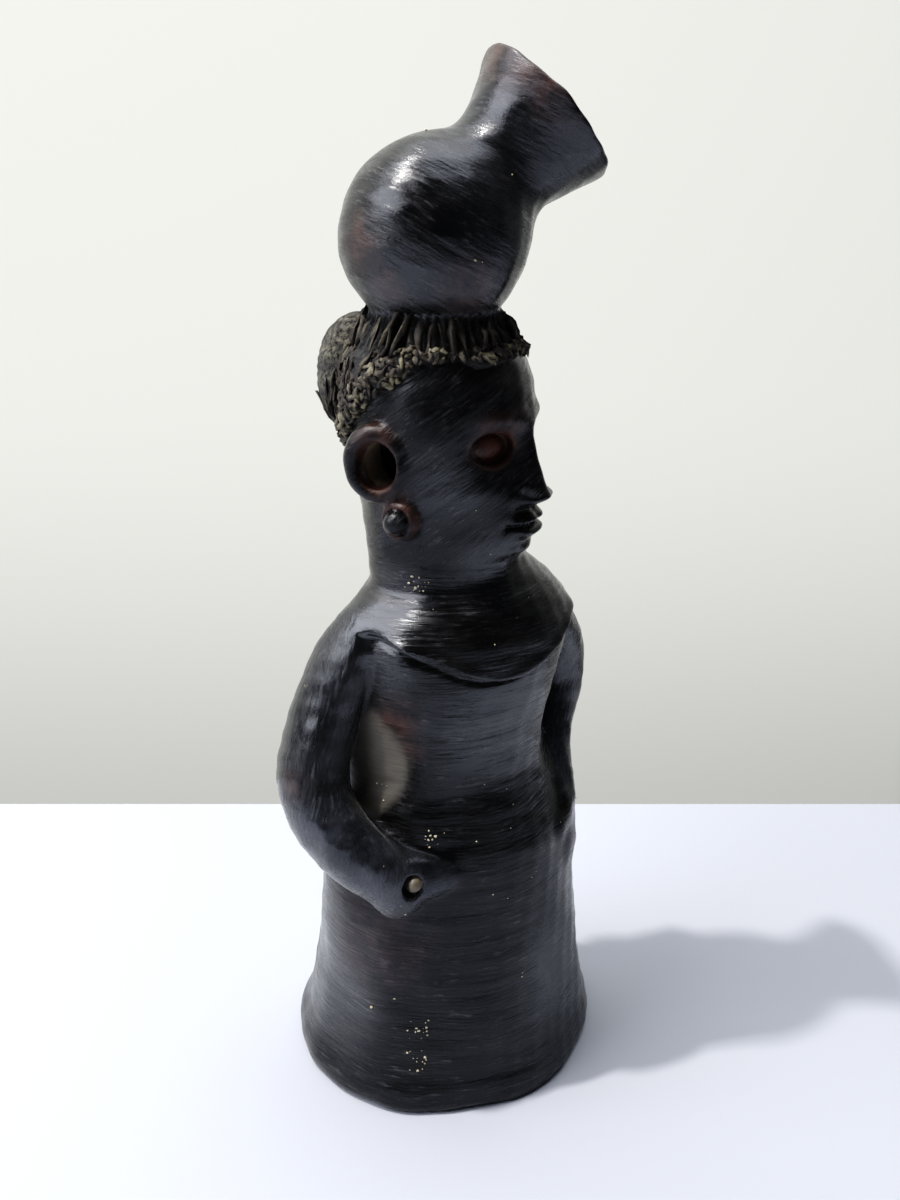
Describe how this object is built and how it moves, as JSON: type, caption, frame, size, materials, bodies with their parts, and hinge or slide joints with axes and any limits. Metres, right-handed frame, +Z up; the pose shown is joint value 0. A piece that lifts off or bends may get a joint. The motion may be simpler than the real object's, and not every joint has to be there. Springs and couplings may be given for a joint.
{
  "type": "ceramic anthropomorphic figure",
  "caption": "Hand-built burnished black pottery figure of a woman in a flared skirt, hands on hips, who carries a jug with a bent neck and flared mouth on her head.",
  "frame": {"origin": "on the surface it stands on, at the middle of the bounding box, midway between the elbows", "axes": "+Z up, the chest looks along -Y, the figure's left arm is on +X"},
  "size_m": [0.1186, 0.1004, 0.3304],
  "materials": {
    "figure": "gloss"
  },
  "bodies": {
    "root": {"figure": "figure"}
  },
  "joints": []
}
